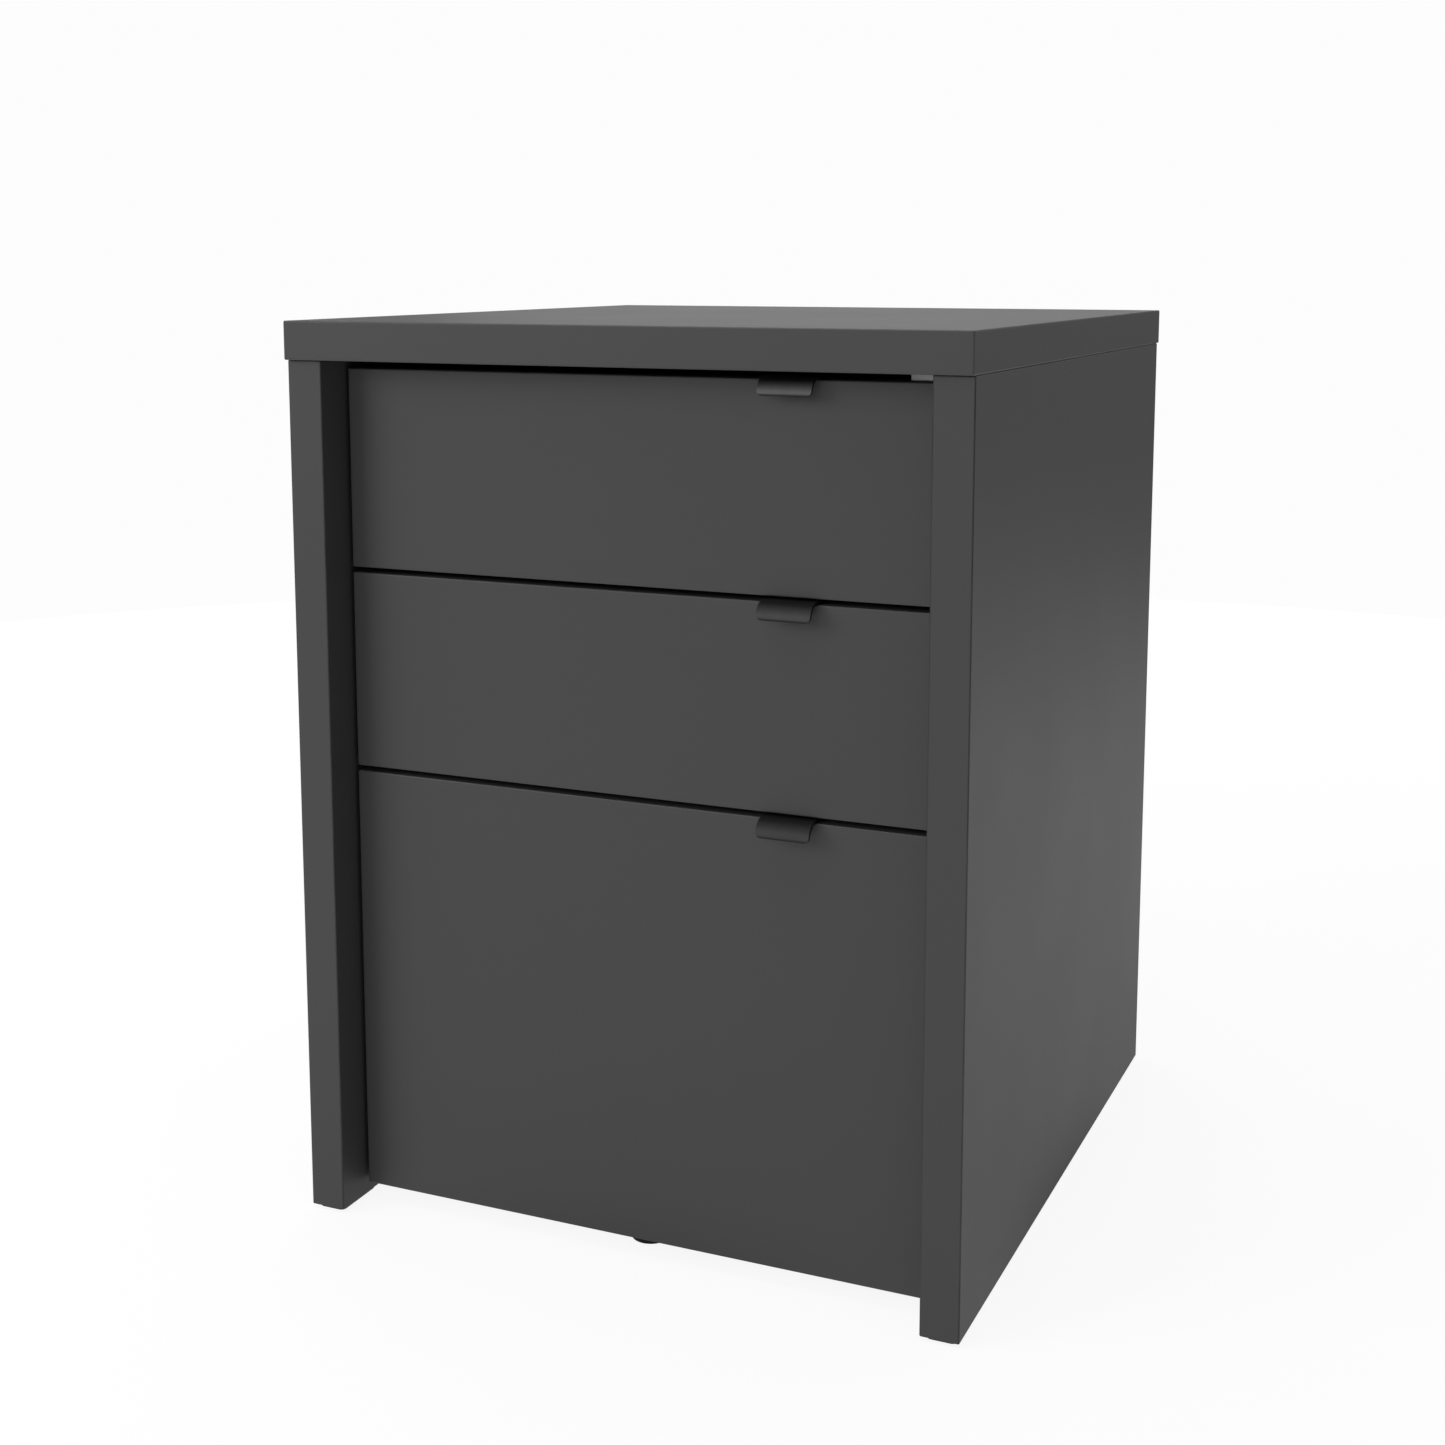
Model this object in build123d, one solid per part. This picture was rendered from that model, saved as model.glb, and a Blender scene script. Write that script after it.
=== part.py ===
from build123d import *
import os

# A free-standing bedside cabinet of thick matt laminated board, with two equal small
# drawers above one tall drawer, all inset between the sides and running on
# three-part ball-bearing runners.
#
# Frame: millimetres, +Z up, the front faces -Y, +X is to the right as seen from the front.
# The origin is on the floor, under the middle of the top.

# ------------------------------------------------------------------ driving sizes

WIDTH = 457.0                  # over the sides, and the top's width
DEPTH = 494.0                  # the top's depth
HEIGHT = 600.0                 # floor to the top's upper face
BOARD = 25.0                   # top and sides
EASE = 1.0                     # rounding on every edge of a faced board
SIDE_FRONT_SETBACK = 4.0       # sides stand back from the top's front edge
SIDE_REAR_SETBACK = 6.0        # and from its rear edge

GLIDE_HEIGHT = 2.5             # pads under the sides
GLIDE_WIDTH = 20.0
GLIDE_LENGTH = 40.0
GLIDE_CORNER = 4.0
GLIDE_FRONT_INSET = 3.5        # pad to the side's front edge
GLIDE_REAR_INSET = 20.0        # pad to the side's rear edge
GLIDE_PIN_RADIUS = 2.5
GLIDE_PIN_LENGTH = 10.0
GLIDE_PIN_SPACING = 24.0

BOTTOM_BOARD = 16.0
BOTTOM_UNDERSIDE = 14.0        # height of the bottom board's lower face
BACK_BOARD = 6.0
BACK_INSET = 10.0              # back board's outer face to the sides' rear edges
BACK_TONGUE = 6.0              # how far the back board enters its grooves

FOOT_RADIUS = 10.0             # small round foot under the bottom board's front edge
FOOT_BASE_RADIUS = 13.0        # its wider base, which reaches a little under the drawer face
FOOT_BASE_HEIGHT = 6.0
FOOT_STEM_RADIUS = 3.0
FOOT_STEM_LENGTH = 11.0

FACE_RECESS = 26.0             # drawer faces stand back from the sides' front edges
FRONT_BOARD = 18.0
FRONT_SIDE_GAP = 3.0
FRONT_GAP = 3.5                # between one drawer front and the next
FRONT_FLOOR_GAP = 12.0
SMALL_FRONT = 130.0
TALL_FRONT = 290.0

BOX_BOARD = 12.0
BOX_LENGTH = 395.0             # front board's rear face to the box's rear face
BOX_FLOOR = 5.0
BOX_FLOOR_LIFT = 10.0          # box floor above the box sides' lower edges
BOX_GROOVE = 5.0
SMALL_BOX_HEIGHT = 90.0
TALL_BOX_HEIGHT = 220.0
SMALL_BOX_LIFT = 12.0          # box above the lower edge of its own front
TALL_BOX_LIFT = 24.0

RUNNER_THICKNESS = 12.7        # standard side space of a ball-bearing runner
RUNNER_LENGTH = 400.0
RUNNER_HEIGHT = 45.0
RUNNER_SHEET = 1.2
SMALL_RUNNER_LIFT = 30.0       # runner's middle above the box's lower edge
TALL_RUNNER_LIFT = 64.0

HANDLE_X = 108.5               # handle's middle, right of the drawer's middle
HANDLE_WIDTH = 35.0
HANDLE_SHEET = 2.0
HANDLE_REACH = 12.5            # lip in front of the drawer's face
HANDLE_DROP = 9.5              # lip below the drawer front's top edge
HANDLE_BEND = 11.0
HANDLE_CORNER = 3.5
HANDLE_LEG = 18.0              # leg behind the drawer front, below its top edge

BRACKET_LEG = 30.0             # leg under the top
BRACKET_SIDE_LEG = 18.0        # leg down the side
BRACKET_WIDTH = 22.0
BRACKET_SHEET = 2.0
BRACKET_WEB = 18.0             # depth of the closed end below the top board
BRACKET_FRONT_RIGHT = -190.0   # front ends of the front brackets; the left one stands further
BRACKET_FRONT_LEFT = 60.0      # back, out of sight behind the slot above the top drawer
BRACKET_REAR = 194.0

DOWEL_RADIUS = 4.0
DOWEL_SHORT = 12.0             # blind depth in the face of a board
DOWEL_LONG = 18.0              # depth in the end of a board
BOX_DOWEL_RADIUS = 3.0
CAM_RADIUS = 7.5
CAM_HEIGHT = 12.5
CAM_DISTANCE = 34.0            # cam's centre to the board's end

# ------------------------------------------------------------------ worked-out places

SIDE_OUTER = WIDTH / 2
SIDE_INNER = SIDE_OUTER - BOARD
TOP_FRONT = -DEPTH / 2
TOP_UNDERSIDE = HEIGHT - BOARD
SIDE_FRONT = TOP_FRONT + SIDE_FRONT_SETBACK
SIDE_REAR = DEPTH / 2 - SIDE_REAR_SETBACK
BACK_OUTER = SIDE_REAR - BACK_INSET
BACK_INNER = BACK_OUTER - BACK_BOARD

FACE_Y = SIDE_FRONT + FACE_RECESS
FRONT_REAR = FACE_Y + FRONT_BOARD
BOTTOM_FRONT = FRONT_REAR + 2.0
BOTTOM_TOP = BOTTOM_UNDERSIDE + BOTTOM_BOARD
FRONT_HALF = SIDE_INNER - FRONT_SIDE_GAP

BOX_OUTER = SIDE_INNER - RUNNER_THICKNESS
BOX_INNER = BOX_OUTER - BOX_BOARD
BOX_REAR = FRONT_REAR + BOX_LENGTH
BOX_BACK_INNER = BOX_REAR - BOX_BOARD

RUNNER_FRONT = FRONT_REAR + 4.0

# Each drawer: name, height of its front, lower edge of its front, its box's height,
# the box's lower edge, and the height of its runners' middle line.
BOTTOM_EDGE = FRONT_FLOOR_GAP
MIDDLE_EDGE = BOTTOM_EDGE + TALL_FRONT + FRONT_GAP
TOP_EDGE = MIDDLE_EDGE + SMALL_FRONT + FRONT_GAP
DRAWERS = [
    ("top", SMALL_FRONT, TOP_EDGE, SMALL_BOX_HEIGHT, SMALL_BOX_LIFT, SMALL_RUNNER_LIFT),
    ("middle", SMALL_FRONT, MIDDLE_EDGE, SMALL_BOX_HEIGHT, SMALL_BOX_LIFT, SMALL_RUNNER_LIFT),
    ("bottom", TALL_FRONT, BOTTOM_EDGE, TALL_BOX_HEIGHT, TALL_BOX_LIFT, TALL_RUNNER_LIFT),
]


# ------------------------------------------------------------------ helpers

def slab(x0, x1, y0, y1, z0, z1):
    """A block between two corners."""
    middle = Pos((x0 + x1) / 2, (y0 + y1) / 2, (z0 + z1) / 2)
    return middle * Box(x1 - x0, y1 - y0, z1 - z0)


def eased(board, radius=EASE):
    """A board with every edge rounded, as edge banding leaves it."""
    return fillet(board.edges(), radius)


def eased_on_top(board, radius=EASE):
    """A box board with only its upper edges rounded."""
    return fillet(board.edges().group_by(Axis.Z)[-1], radius)


def rod(start, direction, length, radius):
    """A round bar from a point along a direction."""
    return Plane(origin=start, z_dir=direction) * Cylinder(
        radius, length, align=(Align.CENTER, Align.CENTER, Align.MIN)
    )


def flip(shape):
    """The same piece on the other side of the cabinet."""
    return mirror(shape, about=Plane.YZ)


def cut_all(board, pieces):
    """A board with a seat cut for each piece."""
    for piece in pieces:
        board = board - piece
    return board


def single(shape):
    """The one solid in a shape."""
    solids = shape.solids()
    assert len(solids) == 1, len(solids)
    return solids[0]


def write(node, *pieces):
    """Write one node: one solid, or a group of separate identical fasteners."""
    solids = [single(piece) for piece in pieces]
    shape = solids[0] if len(solids) == 1 else Compound(children=solids)
    shape.label = node
    export_step(shape, os.path.join("parts", node + ".step"))


class Screw:
    """A wood screw whose head's top is at the origin, with its shank down -Z."""

    def __init__(self, head, shank, length, flat):
        rise = (head - shank) / 2
        tip = shank
        if flat:
            rim = 0.3
            outline = [
                (0, 0), (head / 2, 0), (head / 2, -rim), (shank / 2, -rim - rise),
                (shank / 2, -length + tip), (0, -length), (0, 0),
            ]
            self.blank = self.turned(outline)
        else:
            dome = 2.4
            outline = [
                (0, 0), (shank / 2, 0), (shank / 2, -length + tip), (0, -length), (0, 0),
            ]
            top = Cylinder(head / 2, dome, align=(Align.CENTER, Align.CENTER, Align.MIN))
            rim = top.edges().group_by(Axis.Z)[-1]
            self.blank = self.turned(outline) + fillet(rim, dome / 2)
        self.drive = head * 0.55
        self.crown = 0 if flat else 2.4

    @staticmethod
    def turned(outline):
        return revolve(Plane.XZ * make_face(Polyline(*outline)), Axis.Z)

    def placed(self, point, outward, blank=False):
        """The screw with its head at a point, facing along outward."""
        shape = self.blank
        if not blank:
            depth = 1.5
            blade = Pos(0, 0, self.crown - depth / 2)
            shape = shape - blade * Box(self.drive, 0.9, depth)
            shape = shape - blade * Box(0.9, self.drive, depth)
        return Plane(origin=point, z_dir=outward) * shape


RUNNER_SCREW = Screw(head=7.4, shank=3.6, length=14.0, flat=True)
BOX_SCREW = Screw(head=7.4, shank=3.6, length=10.0, flat=True)
BACK_SCREW = Screw(head=7.4, shank=3.6, length=25.0, flat=True)
BRACKET_SCREW = Screw(head=7.5, shank=4.0, length=15.0, flat=False)
HANDLE_SCREW = Screw(head=7.0, shank=3.6, length=13.0, flat=False)


# ------------------------------------------------------------------ fixings of the carcass

def carcass_dowels():
    """Dowels on the right: two up into the top and two across into the bottom board."""
    made = []
    for y in (-205.0, 170.0):
        start = (SIDE_INNER + BOARD / 2, y, TOP_UNDERSIDE - DOWEL_LONG)
        made.append(rod(start, (0, 0, 1), DOWEL_LONG + DOWEL_SHORT, DOWEL_RADIUS))
    for y in (-118.0, 138.0):
        start = (SIDE_INNER - DOWEL_LONG, y, BOTTOM_UNDERSIDE + BOTTOM_BOARD / 2)
        made.append(rod(start, (1, 0, 0), DOWEL_LONG + DOWEL_SHORT, DOWEL_RADIUS))
    return made


CAM_Y = (-150.0, 170.0)
BOLT_THREAD = 11.0


def cam_bolt(y):
    """A bolt screwed into the side, with its ball head held by the cam."""
    z = BOTTOM_UNDERSIDE + BOTTOM_BOARD / 2
    out = (-1, 0, 0)
    thread = rod((SIDE_INNER + BOLT_THREAD, y, z), out, BOLT_THREAD, 2.5)
    stem = rod((SIDE_INNER, y, z), out, CAM_DISTANCE - 4.0, 3.0)
    neck = rod((SIDE_INNER - CAM_DISTANCE + 4.0, y, z), out, 4.0, 1.6)
    head = Pos(SIDE_INNER - CAM_DISTANCE, y, z) * Sphere(3.0)
    return thread + stem + neck + head


def cam_blank(y):
    """The round seat that a cam lock fills, open on the bottom board's lower face."""
    start = (SIDE_INNER - CAM_DISTANCE, y, BOTTOM_UNDERSIDE)
    return rod(start, (0, 0, 1), CAM_HEIGHT, CAM_RADIUS)


def cam_lock(y):
    """A cam with a driver slot, hollowed for its bolt."""
    x = SIDE_INNER - CAM_DISTANCE
    slot = slab(x - 5.0, x + 5.0, y - 0.8, y + 0.8, BOTTOM_UNDERSIDE, BOTTOM_UNDERSIDE + 2.0)
    return cam_blank(y) - slot - cam_bolt(y)


def corner_bracket(y0):
    """A pressed steel angle with one closed end, under the top on the right.

    The closed end faces the nearer edge of the cabinet, front or rear.
    """
    front = y0 < 0
    y1 = y0 + BRACKET_WIDTH
    inner = SIDE_INNER - BRACKET_LEG
    under_top = slab(inner, SIDE_INNER, y0, y1, TOP_UNDERSIDE - BRACKET_SHEET, TOP_UNDERSIDE)
    on_side = slab(
        SIDE_INNER - BRACKET_SHEET, SIDE_INNER, y0, y1, TOP_UNDERSIDE - BRACKET_SIDE_LEG, TOP_UNDERSIDE
    )
    web_y = y0 if front else y1 - BRACKET_SHEET
    web = slab(
        inner, SIDE_INNER, web_y, web_y + BRACKET_SHEET, TOP_UNDERSIDE - BRACKET_WEB, TOP_UNDERSIDE
    )
    corner = web.edges().filter_by(Axis.Y).sort_by(Axis.Z)[:2].sort_by(Axis.X)[0]
    return under_top + on_side + fillet(corner, 6.0)


def bracket_screws(y0, blank=False):
    """Two screws up into the top and two into the side, with heads on the bracket."""
    y = y0 + (12.0 if y0 < 0 else BRACKET_WIDTH - 12.0)
    low = TOP_UNDERSIDE - BRACKET_SHEET
    made = []
    for x in (SIDE_INNER - 25.0, SIDE_INNER - 13.0):
        made.append(BRACKET_SCREW.placed((x, y, low), (0, 0, -1), blank))
    z = TOP_UNDERSIDE - 12.0
    for y in (y0 + 6.0, y0 + 16.0):
        made.append(BRACKET_SCREW.placed((SIDE_INNER - BRACKET_SHEET, y, z), (-1, 0, 0), blank))
    return made


def glide(front):
    """A moulded pad with two pins, pressed into the lower edge of the right side."""
    if front:
        y0 = SIDE_FRONT + GLIDE_FRONT_INSET
    else:
        y0 = SIDE_REAR - GLIDE_REAR_INSET - GLIDE_LENGTH
    x = SIDE_INNER + BOARD / 2
    y = y0 + GLIDE_LENGTH / 2
    pad = extrude(RectangleRounded(GLIDE_WIDTH, GLIDE_LENGTH, GLIDE_CORNER), GLIDE_HEIGHT)
    pad = fillet(pad.edges().group_by(Axis.Z)[0], 0.8)
    pad = Pos(x, y, 0) * pad
    for step in (-GLIDE_PIN_SPACING / 2, GLIDE_PIN_SPACING / 2):
        start = (x, y + step, GLIDE_HEIGHT)
        pad = pad + rod(start, (0, 0, 1), GLIDE_PIN_LENGTH, GLIDE_PIN_RADIUS)
    return pad


def centre_foot():
    """A round foot that props the middle of the bottom board's front edge."""
    on_floor = (Align.CENTER, Align.CENTER, Align.MIN)
    base = Cylinder(FOOT_BASE_RADIUS, FOOT_BASE_HEIGHT, align=on_floor)
    base = fillet(base.edges().group_by(Axis.Z)[0], 0.8)
    pad = base + Cylinder(FOOT_RADIUS, BOTTOM_UNDERSIDE, align=on_floor)
    stem = rod((0, 0, BOTTOM_UNDERSIDE), (0, 0, 1), FOOT_STEM_LENGTH, FOOT_STEM_RADIUS)
    return Pos(0, BOTTOM_FRONT + FOOT_RADIUS, 0) * (pad + stem)


def back_screw(x, blank=False):
    """A screw through the back board into the bottom board's rear edge."""
    point = (x, BACK_OUTER, BOTTOM_UNDERSIDE + BOTTOM_BOARD / 2)
    return BACK_SCREW.placed(point, (0, 1, 0), blank)


BACK_SCREW_X = (-180.0, -60.0, 60.0, 180.0)

# ------------------------------------------------------------------ runners

RUNNER_HOLES = (34.0, 162.0, 354.0)      # from the runner's front end
BOX_HOLES = (40.0, 190.0, 350.0)


def channel(x_wall, x_mouth, height, lip):
    """Section of a thin channel that opens from x_wall towards x_mouth.

    A lip above zero turns the ends of its flanges inwards.
    """
    depth = abs(x_wall - x_mouth)
    middle = (x_wall + x_mouth) / 2
    toward = 1 if x_mouth > x_wall else -1
    bore = height - 2 * RUNNER_SHEET
    section = Pos(middle, 0) * RectangleRounded(depth, height, 1.6)
    section = section - Pos(middle, 0) * RectangleRounded(depth - 2 * RUNNER_SHEET, bore, 0.5)
    mouth = bore - 2 * lip
    section = section - Pos(x_mouth - toward * RUNNER_SHEET, 0) * Rectangle(
        2 * RUNNER_SHEET, mouth
    )
    return section


def rail(section, y0, y1, z):
    """A channel section carried along the cabinet's depth at a height."""
    plane = Plane(origin=(0, y0, z), x_dir=(1, 0, 0), z_dir=(0, 1, 0))
    return extrude(plane * section, y1 - y0)


def carcass_rail(z):
    """The right outer member, screwed to the side."""
    section = channel(SIDE_INNER, SIDE_INNER - 11.5, RUNNER_HEIGHT, lip=1.8)
    return rail(section, RUNNER_FRONT, RUNNER_FRONT + RUNNER_LENGTH, z)


def middle_rail(z):
    """The right middle member, which travels half as far as the drawer."""
    section = channel(SIDE_INNER - 1.7, SIDE_INNER - 10.9, RUNNER_HEIGHT - 7.8, lip=0.0)
    return rail(section, RUNNER_FRONT + 3.0, RUNNER_FRONT + RUNNER_LENGTH - 3.0, z)


def drawer_rail(z):
    """The right inner member, screwed to the drawer box."""
    section = channel(BOX_OUTER, BOX_OUTER + 9.1, RUNNER_HEIGHT - 17.0, lip=0.0)
    return rail(section, FRONT_REAR + 2.0, BOX_REAR - 1.0, z)


def carcass_rail_screws(z, blank=False):
    x = SIDE_INNER - RUNNER_SHEET
    return [
        RUNNER_SCREW.placed((x, RUNNER_FRONT + hole, z), (-1, 0, 0), blank)
        for hole in RUNNER_HOLES
    ]


def drawer_rail_screws(z, blank=False):
    x = BOX_OUTER + RUNNER_SHEET
    return [
        BOX_SCREW.placed((x, FRONT_REAR + hole, z), (1, 0, 0), blank) for hole in BOX_HOLES
    ]


# ------------------------------------------------------------------ drawers

def handle(top_z):
    """A tab of bent sheet hooked over the drawer front's top edge.

    Seen from the side it is a leg behind the front, a flange over its top edge, and a
    lip that comes forward and turns down with a gap for the fingers behind it.
    """
    rear = FRONT_REAR + HANDLE_SHEET
    lip = FACE_Y - HANDLE_REACH
    crown = top_z + HANDLE_SHEET
    outline = Polyline(
        (FRONT_REAR, top_z), (FRONT_REAR, top_z - HANDLE_LEG), (rear, top_z - HANDLE_LEG),
        (rear, crown), (lip, crown), (lip, top_z - HANDLE_DROP),
        (lip + HANDLE_SHEET, top_z - HANDLE_DROP), (lip + HANDLE_SHEET, top_z),
        (FRONT_REAR, top_z),
    )
    plane = Plane(origin=(HANDLE_X - HANDLE_WIDTH / 2, 0, 0), x_dir=(0, 1, 0), z_dir=(1, 0, 0))
    body = extrude(plane * make_face(outline), HANDLE_WIDTH)
    long_edges = body.edges().filter_by(Axis.X)

    def bend(y, z):
        return [e for e in long_edges if abs(e.center().Y - y) < 0.01 and abs(e.center().Z - z) < 0.01]

    body = fillet(bend(lip + HANDLE_SHEET, top_z), HANDLE_BEND - HANDLE_SHEET)
    long_edges = body.edges().filter_by(Axis.X)
    body = fillet(bend(lip, crown), HANDLE_BEND)
    long_edges = body.edges().filter_by(Axis.X)
    body = fillet(bend(rear, crown), HANDLE_SHEET)
    across = body.edges().filter_by(Axis.Y)
    ends = [e for e in across if e.center().Z < top_z - HANDLE_DROP + 0.01]
    return fillet(ends, HANDLE_CORNER)


def handle_screws(top_z, blank=False):
    """Two screws through the handle's leg into the drawer front."""
    point_y = FRONT_REAR + HANDLE_SHEET
    return [
        HANDLE_SCREW.placed((HANDLE_X + step, point_y, top_z - HANDLE_LEG / 2), (0, 1, 0), blank)
        for step in (-10.0, 10.0)
    ]


def drawer_dowels(low, height):
    """Glued dowels on the right: side to front, and back to side, spread over the height."""
    count = 2 if height < 150.0 else 3
    first = low + BOX_FLOOR_LIFT + BOX_FLOOR + 12.0
    last = low + height - 15.0
    made = []
    for i in range(count):
        z = first + (last - first) * i / (count - 1)
        x = (BOX_INNER + BOX_OUTER) / 2
        made.append(rod((x, FRONT_REAR - 10.0, z), (0, 1, 0), 30.0, BOX_DOWEL_RADIUS))
        y = BOX_REAR - BOX_BOARD / 2
        made.append(rod((BOX_INNER - 20.0, y, z), (1, 0, 0), 28.0, BOX_DOWEL_RADIUS))
    return made


def both_sides(pieces):
    """The right-hand pieces and their mirror images."""
    return pieces + [flip(piece) for piece in pieces]


def make_drawer(name, front_height, edge, box_height, box_lift, runner_lift):
    """Write every node of one drawer and of its two runners."""
    top_z = edge + front_height
    low = edge + box_lift
    high = low + box_height
    floor_z = low + BOX_FLOOR_LIFT
    runner_z = low + runner_lift

    dowels = both_sides(drawer_dowels(low, box_height))
    tab = handle(top_z)
    tab_seats = handle_screws(top_z, blank=True)
    rail_seats = drawer_rail_screws(runner_z, blank=True)

    floor = slab(
        -BOX_INNER - BOX_GROOVE, BOX_INNER + BOX_GROOVE,
        FRONT_REAR - BOX_GROOVE, BOX_BACK_INNER + BOX_GROOVE,
        floor_z, floor_z + BOX_FLOOR,
    )
    front = eased(slab(-FRONT_HALF, FRONT_HALF, FACE_Y, FRONT_REAR, edge, top_z))
    side = eased_on_top(slab(BOX_INNER, BOX_OUTER, FRONT_REAR, BOX_REAR, low, high))
    back = eased_on_top(slab(-BOX_INNER, BOX_INNER, BOX_BACK_INNER, BOX_REAR, low, high))

    prefix = name + "_drawer_"
    write(prefix + "front", cut_all(front, [floor] + dowels + tab_seats))
    right = cut_all(side, [floor] + dowels + rail_seats)
    write(prefix + "right_side", right)
    write(prefix + "left_side", flip(right))
    write(prefix + "back", cut_all(back, [floor] + dowels))
    write(prefix + "floor", floor)
    write(prefix + "dowels", *dowels)
    write(prefix + "handle", cut_all(tab, tab_seats))
    write(prefix + "handle_screws", *handle_screws(top_z))

    inner = cut_all(drawer_rail(runner_z), rail_seats)
    write(prefix + "right_rail", inner)
    write(prefix + "left_rail", flip(inner))
    write(prefix + "rail_screws", *both_sides(drawer_rail_screws(runner_z)))

    write(name + "_right_middle_rail", middle_rail(runner_z))
    write(name + "_left_middle_rail", flip(middle_rail(runner_z)))

    outer = cut_all(carcass_rail(runner_z), carcass_rail_screws(runner_z, blank=True))
    write(name + "_right_carcass_rail", outer)
    write(name + "_left_carcass_rail", flip(outer))
    return runner_z


# ------------------------------------------------------------------ carcass

def make_carcass(runner_heights):
    """Write the fixed boards, their fixings and the feet."""
    dowels = carcass_dowels()
    bolts = [cam_bolt(y) for y in CAM_Y]
    glides = [glide(front) for front in (True, False)]
    right = (BRACKET_FRONT_RIGHT, BRACKET_REAR)
    left = (BRACKET_FRONT_LEFT, BRACKET_REAR)
    right_seats = [s for y0 in right for s in bracket_screws(y0, blank=True)]
    left_seats = [s for y0 in left for s in bracket_screws(y0, blank=True)]
    rail_seats = [s for z in runner_heights for s in carcass_rail_screws(z, blank=True)]
    foot = centre_foot()

    back = slab(
        -SIDE_INNER - BACK_TONGUE, SIDE_INNER + BACK_TONGUE, BACK_INNER, BACK_OUTER,
        BOTTOM_UNDERSIDE, TOP_UNDERSIDE + BACK_TONGUE,
    )
    back_seats = [back_screw(x, blank=True) for x in BACK_SCREW_X]

    top = eased(slab(-SIDE_OUTER, SIDE_OUTER, TOP_FRONT, -TOP_FRONT, TOP_UNDERSIDE, HEIGHT))
    seats = both_sides(dowels[:2]) + right_seats + [flip(s) for s in left_seats]
    write("top_panel", cut_all(top, [back] + seats))

    side = eased(slab(SIDE_INNER, SIDE_OUTER, SIDE_FRONT, SIDE_REAR, GLIDE_HEIGHT, TOP_UNDERSIDE))
    groove = slab(
        SIDE_INNER, SIDE_INNER + BACK_TONGUE, BACK_INNER, BACK_OUTER, GLIDE_HEIGHT, TOP_UNDERSIDE
    )
    side = cut_all(side, [groove] + dowels + bolts + glides + rail_seats)
    write("right_side_panel", cut_all(side, right_seats))
    write("left_side_panel", flip(cut_all(side, left_seats)))

    bottom = slab(-SIDE_INNER, SIDE_INNER, BOTTOM_FRONT, BACK_INNER, BOTTOM_UNDERSIDE, BOTTOM_TOP)
    seats = both_sides(dowels[2:] + bolts + [cam_blank(y) for y in CAM_Y])
    write("bottom_panel", cut_all(bottom, seats + back_seats + [foot]))
    write("back_panel", cut_all(back, back_seats))

    brackets = [cut_all(corner_bracket(y0), right_seats) for y0 in right]
    brackets += [flip(cut_all(corner_bracket(y0), left_seats)) for y0 in left]
    write("corner_brackets", *brackets)
    screws = [s for y0 in right for s in bracket_screws(y0)]
    screws += [flip(s) for y0 in left for s in bracket_screws(y0)]
    write("bracket_screws", *screws)
    write("carcass_dowels", *both_sides(dowels))
    write("cam_bolts", *both_sides(bolts))
    write("cam_locks", *both_sides([cam_lock(y) for y in CAM_Y]))
    write("back_screws", *[back_screw(x) for x in BACK_SCREW_X])
    write("carcass_rail_screws", *both_sides(
        [s for z in runner_heights for s in carcass_rail_screws(z)]
    ))
    write("side_glides", *both_sides(glides))
    write("centre_foot", foot)


os.makedirs("parts", exist_ok=True)
heights = [make_drawer(*drawer) for drawer in DRAWERS]
make_carcass(heights)
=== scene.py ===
"""Looks of a bedside cabinet with two small drawers above a tall one.

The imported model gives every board, rail and screw, in metres, with +Z up and the drawers
opening towards -Y. This script dresses those pieces, adds the fine ones (bent tab handles,
runner balls and their cages), and sets up a pale studio with its camera.
"""
from __future__ import annotations

import logging
import math
from dataclasses import dataclass
from enum import Enum

import bpy
import numpy as np
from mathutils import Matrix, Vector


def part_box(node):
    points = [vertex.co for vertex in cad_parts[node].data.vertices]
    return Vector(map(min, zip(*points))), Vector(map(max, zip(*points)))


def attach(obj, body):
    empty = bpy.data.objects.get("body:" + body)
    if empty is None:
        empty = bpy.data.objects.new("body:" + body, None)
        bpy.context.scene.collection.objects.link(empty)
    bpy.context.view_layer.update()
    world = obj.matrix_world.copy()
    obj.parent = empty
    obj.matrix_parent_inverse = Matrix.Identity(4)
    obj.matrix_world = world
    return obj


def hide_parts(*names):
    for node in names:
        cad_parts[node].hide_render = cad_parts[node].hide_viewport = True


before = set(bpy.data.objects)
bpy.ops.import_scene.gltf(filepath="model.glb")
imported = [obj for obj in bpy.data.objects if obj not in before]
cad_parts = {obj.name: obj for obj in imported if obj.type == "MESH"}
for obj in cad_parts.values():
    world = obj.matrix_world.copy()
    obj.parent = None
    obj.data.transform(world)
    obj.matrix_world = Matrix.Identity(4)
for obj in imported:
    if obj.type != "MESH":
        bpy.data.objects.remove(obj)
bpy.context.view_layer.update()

MM = 0.001
TINY = 1e-9
Colour = tuple[float, float, float, float]
Socket = bpy.types.NodeSocket
log = logging.getLogger("bedside_cabinet")


class Axis(Enum):
    """A direction of the cabinet: across, front to back, or up."""

    X = 0
    Y = 1
    Z = 2


class Side(Enum):
    """A side of the cabinet, seen from the front, with the sign of its X."""

    LEFT = -1
    RIGHT = 1

    @property
    def word(self) -> str:
        """The side's name as the model's nodes spell it."""
        return self.name.lower()


class Place(Enum):
    """Where a drawer is in the stack."""

    TOP = "top"
    MIDDLE = "middle"
    BOTTOM = "bottom"


LIP_LIGHT = {Place.TOP: 0.13, Place.MIDDLE: 0.052, Place.BOTTOM: 0.042}  # painted highlight on each drawer's lip, palest on the top one against the top board's shade
MIX_FACTOR, MIX_FIRST, MIX_SECOND, MIX_RESULT = 0, 6, 7, 2  # a Mix node's sockets for colours

# ---------------------------------------------------------------- shader nodes


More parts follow.
